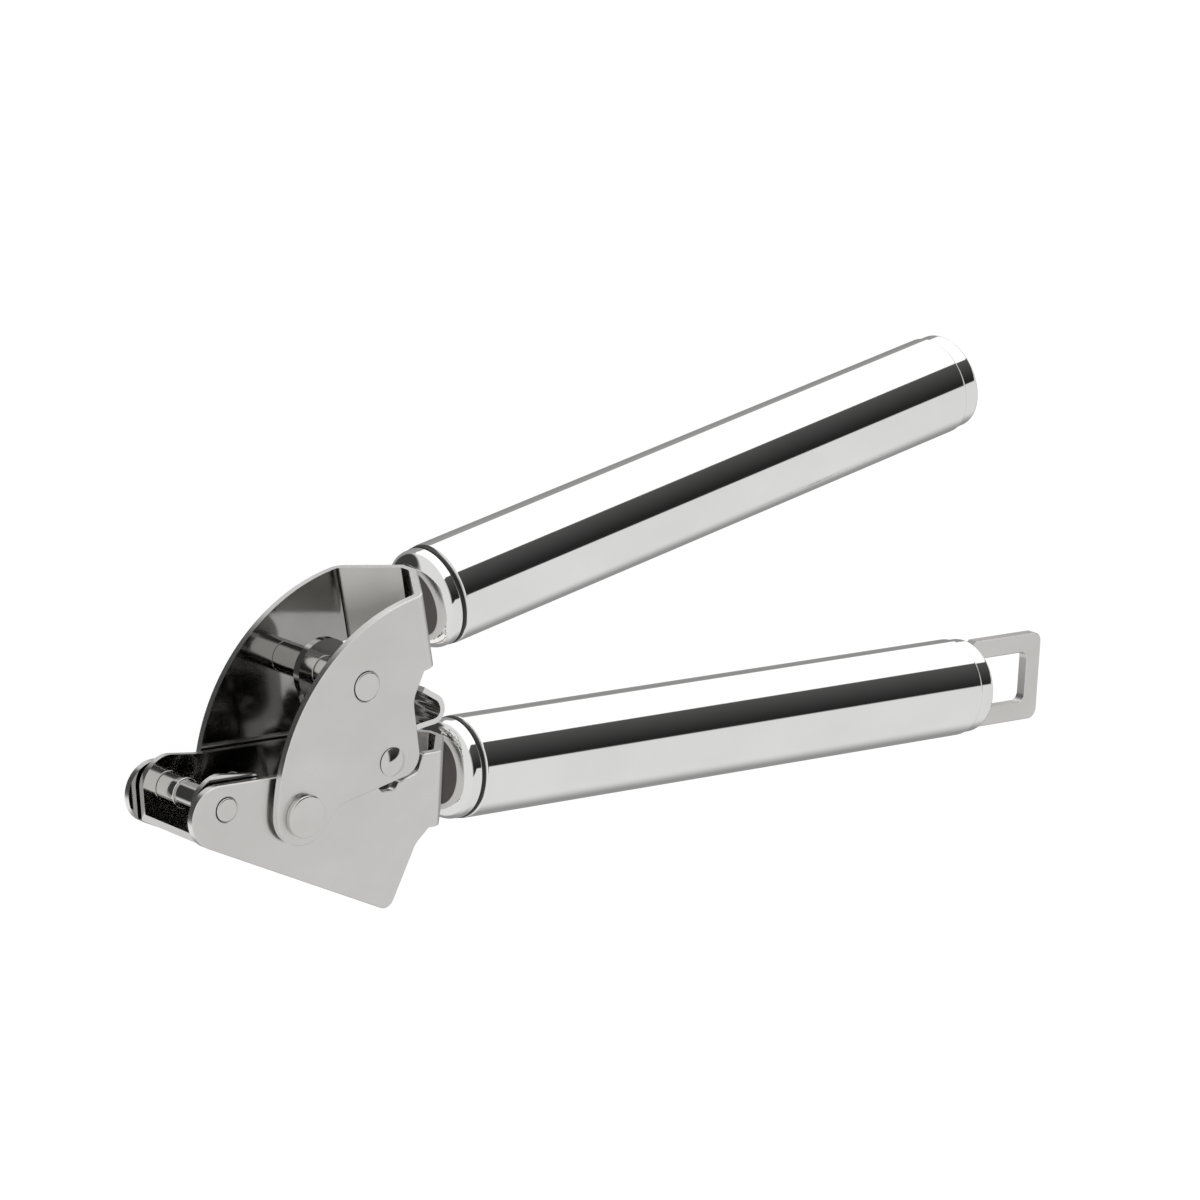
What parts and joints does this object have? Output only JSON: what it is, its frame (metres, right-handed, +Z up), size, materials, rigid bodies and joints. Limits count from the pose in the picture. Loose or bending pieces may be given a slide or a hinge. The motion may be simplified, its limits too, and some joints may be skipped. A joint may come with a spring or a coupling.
{
  "type": "garlic press",
  "caption": "Stainless garlic press with two round tube handles, V-shaped bent sheet frames, a hinged press foot, a swing-out sieve basket and a hanging loop.",
  "frame": {"origin": "centre of the outer face of the right pivot rivet's head, which is what the press lies on; it is on the main pivot's axis", "axes": "+X along the lower handle towards the hanging loop, +Y the way the upper handle opens, +Z up along the pivot's axis as the press lies on its side"},
  "size_m": [0.2128, 0.0917, 0.0283],
  "materials": {
    "satin_sheet": "satin stainless sheet with bright cut edges",
    "polished_tube": "mirror-polished stainless",
    "polished_sheet": "polished stainless sheet",
    "polished_pins": "polished stainless rod and tube",
    "seal_ring": "matt black seal"
  },
  "bodies": {
    "lower_handle": {"lower_frame": "satin_sheet", "lower_ferrule": "polished_tube", "lower_seal_ring": "seal_ring", "lower_tube": "polished_tube", "lower_end_cap": "polished_tube", "hanging_loop": "satin_sheet", "pivot_rivet_left": "polished_pins", "pivot_rivet_right": "polished_pins", "pivot_washer_left": "polished_pins", "pivot_washer_right": "polished_pins", "front_pin": "polished_pins", "front_sleeve": "polished_pins", "front_collar": "polished_pins"},
    "upper_handle": {"upper_frame": "satin_sheet", "upper_ferrule": "polished_tube", "upper_seal_ring": "seal_ring", "upper_tube": "polished_tube", "upper_end_cap": "polished_tube", "press_pin": "polished_pins", "press_spacer_left": "polished_pins", "press_spacer_right": "polished_pins", "stop_stud_left": "polished_pins", "stop_stud_right": "polished_pins"},
    "plunger": {"plunger_stem": "polished_sheet", "press_foot": "polished_sheet"},
    "sieve": {"sieve_basket": "polished_sheet"}
  },
  "joints": [
    {"name": "handle_hinge", "type": "hinge", "parent": "lower_handle", "child": "upper_handle", "pos_m": [0, 0, 0.01415], "axis": [0, 0, 1], "range_deg": [-12, 27]},
    {"name": "plunger_hinge", "type": "hinge", "parent": "upper_handle", "child": "plunger", "pos_m": [0.01285, 0.02186, 0.01415], "axis": [0, 0, 1], "range_deg": [-27, 12]},
    {"name": "sieve_hinge", "type": "hinge", "parent": "lower_handle", "child": "sieve", "pos_m": [-0.015, 0.00245, 0.01415], "axis": [0, 0, 1], "range_deg": [-70, 0]}
  ],
  "couplings": [
    {"joint": "plunger_hinge", "follows": "handle_hinge", "ratio": -1}
  ]
}
